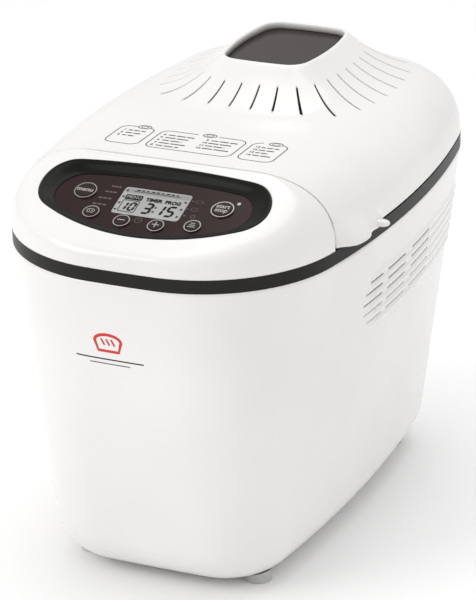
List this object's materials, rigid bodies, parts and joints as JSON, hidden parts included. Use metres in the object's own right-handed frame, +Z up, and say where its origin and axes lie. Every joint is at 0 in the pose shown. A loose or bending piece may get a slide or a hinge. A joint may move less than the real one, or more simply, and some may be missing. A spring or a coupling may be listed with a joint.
{
  "type": "bread machine",
  "caption": "Countertop bread machine with a tapered housing, sloping control console, hinged lid with a viewing window, lift-out pan and belt-driven kneading paddles.",
  "frame": {"origin": "on the resting plane, below the middle of the rim outline", "axes": "+Z up, -Y towards the control console at the front, +X to the right seen from the front"},
  "size_m": [0.296, 0.4215, 0.341],
  "materials": {
    "white_body": "glossy moulded plastic",
    "dark_trim": "fine satin moulded plastic",
    "panel_brown": "glossy dark brown film",
    "display": "grey reflective display",
    "ring_chrome": "bright trim rings",
    "button_plastic": "satin button caps",
    "led_red": "clear tinted lamp",
    "foot_rubber": "light grey soft feet",
    "grommet_rubber": "black cord gland",
    "window_glass": "tinted glass",
    "seal_silicone": "grey silicone",
    "sheet_steel": "galvanised sheet",
    "chamber_steel": "grey enamelled sheet",
    "element_steel": "heat-darkened tube",
    "bright_steel": "polished pins, shafts and screws",
    "ceramic_white": "ceramic insulators",
    "bush_brass": "sintered bearing bushes",
    "motor_paint": "dark motor can",
    "pulley_plastic": "moulded pulleys",
    "belt_rubber": "ribbed drive belts",
    "circuit_green": "printed circuit boards",
    "component_black": "moulded electronic parts",
    "nonstick": "dark non-stick coating on aluminium",
    "cast_alloy": "cast alloy"
  },
  "bodies": {
    "housing": {"housing_shell": "white_body", "rim_band": "dark_trim", "feet": "foot_rubber", "base_plate": "sheet_steel", "base_screws": "bright_steel", "mains_gland": "grommet_rubber", "top_deck": "sheet_steel", "oven_chamber": "chamber_steel", "heating_element": "element_steel", "element_terminals": "ceramic_white", "element_posts": "sheet_steel", "temperature_sensor": "bright_steel", "heat_shield": "sheet_steel", "chassis_plate": "sheet_steel", "standoffs": "sheet_steel", "spindle_bushes": "bush_brass", "drive_motor": "motor_paint", "motor_belt": "belt_rubber", "paddle_belt": "belt_rubber", "power_board": "circuit_green", "transformer": "component_black", "capacitor": "component_black", "console_cover": "white_body", "control_bezel": "dark_trim", "control_panel": "panel_brown", "button_rings": "ring_chrome", "lcd_display": "display", "status_led": "led_red", "control_board": "circuit_green", "tact_switches": "component_black", "hinge_brackets": "white_body", "hinge_pins": "bright_steel"},
    "lid": {"lid_shell": "white_body", "window_glass": "window_glass", "window_gasket": "seal_silicone", "window_frame": "sheet_steel", "lid_liner": "sheet_steel", "lid_seal": "seal_silicone", "lid_screws": "bright_steel", "lid_hinge_arms": "white_body"},
    "pan": {"bread_pan": "nonstick", "pan_bushes": "bush_brass", "pan_collars": "cast_alloy"},
    "pan_handle": {"pan_handle": "bright_steel"},
    "paddle_front": {"paddle_front": "nonstick", "pan_shaft_front": "bright_steel"},
    "paddle_rear": {"paddle_rear": "nonstick", "pan_shaft_rear": "bright_steel"},
    "spindle_front": {"spindle_front": "bright_steel", "main_pulley": "pulley_plastic", "front_pulley": "pulley_plastic"},
    "spindle_rear": {"spindle_rear": "bright_steel", "rear_pulley": "pulley_plastic"},
    "motor_rotor": {"motor_shaft": "bright_steel"},
    "button_menu": {"button_menu": "button_plastic"},
    "button_start": {"button_start": "button_plastic"},
    "button_crust": {"button_crust": "button_plastic"},
    "button_loaf_size": {"button_loaf_size": "button_plastic"},
    "button_minus": {"button_minus": "button_plastic"},
    "button_plus": {"button_plus": "button_plastic"}
  },
  "joints": [
    {"name": "lid_hinge", "type": "hinge", "parent": "housing", "child": "lid", "pos_m": [0, 0.2109, 0.263], "axis": [-1, 0, 0], "range_deg": [0, 95]},
    {"name": "pan_lift", "type": "slide", "parent": "housing", "child": "pan", "axis": [0, 0, 1], "range_m": [0, 0.01]},
    {"name": "pan_handle_swing", "type": "hinge", "parent": "pan", "child": "pan_handle", "pos_m": [0, 0.033, 0.234], "axis": [1, 0, 0], "range_deg": [0, 10]},
    {"name": "spindle_front_spin", "type": "hinge", "parent": "housing", "child": "spindle_front", "pos_m": [0, -0.022, 0.06], "axis": [0, 0, 1], "continuous": true},
    {"name": "spindle_rear_spin", "type": "hinge", "parent": "housing", "child": "spindle_rear", "pos_m": [0, 0.088, 0.06], "axis": [0, 0, 1], "continuous": true},
    {"name": "motor_spin", "type": "hinge", "parent": "housing", "child": "motor_rotor", "pos_m": [0, -0.137, 0.06], "axis": [0, 0, 1], "continuous": true},
    {"name": "paddle_front_spin", "type": "hinge", "parent": "pan", "child": "paddle_front", "pos_m": [0, -0.022, 0.1], "axis": [0, 0, 1], "continuous": true},
    {"name": "paddle_rear_spin", "type": "hinge", "parent": "pan", "child": "paddle_rear", "pos_m": [0, 0.088, 0.1], "axis": [0, 0, 1], "continuous": true},
    {"name": "button_menu_press", "type": "slide", "parent": "housing", "child": "button_menu", "axis": [0, 0.3322, -0.9432], "range_m": [0, 0.0008], "stiffness_N_per_m": 300},
    {"name": "button_start_press", "type": "slide", "parent": "housing", "child": "button_start", "axis": [0, 0.3322, -0.9432], "range_m": [0, 0.0008], "stiffness_N_per_m": 300},
    {"name": "button_crust_press", "type": "slide", "parent": "housing", "child": "button_crust", "axis": [0, 0.3322, -0.9432], "range_m": [0, 0.0008], "stiffness_N_per_m": 300},
    {"name": "button_loaf_size_press", "type": "slide", "parent": "housing", "child": "button_loaf_size", "axis": [0, 0.3322, -0.9432], "range_m": [0, 0.0008], "stiffness_N_per_m": 300},
    {"name": "button_minus_press", "type": "slide", "parent": "housing", "child": "button_minus", "axis": [0, 0.3322, -0.9432], "range_m": [0, 0.0008], "stiffness_N_per_m": 300},
    {"name": "button_plus_press", "type": "slide", "parent": "housing", "child": "button_plus", "axis": [0, 0.3322, -0.9432], "range_m": [0, 0.0008], "stiffness_N_per_m": 300}
  ],
  "couplings": [
    {"joint": "spindle_front_spin", "follows": "motor_spin", "ratio": 0.22222},
    {"joint": "spindle_rear_spin", "follows": "motor_spin", "ratio": 0.22222},
    {"joint": "paddle_front_spin", "follows": "motor_spin", "ratio": 0.22222},
    {"joint": "paddle_rear_spin", "follows": "motor_spin", "ratio": 0.22222}
  ]
}
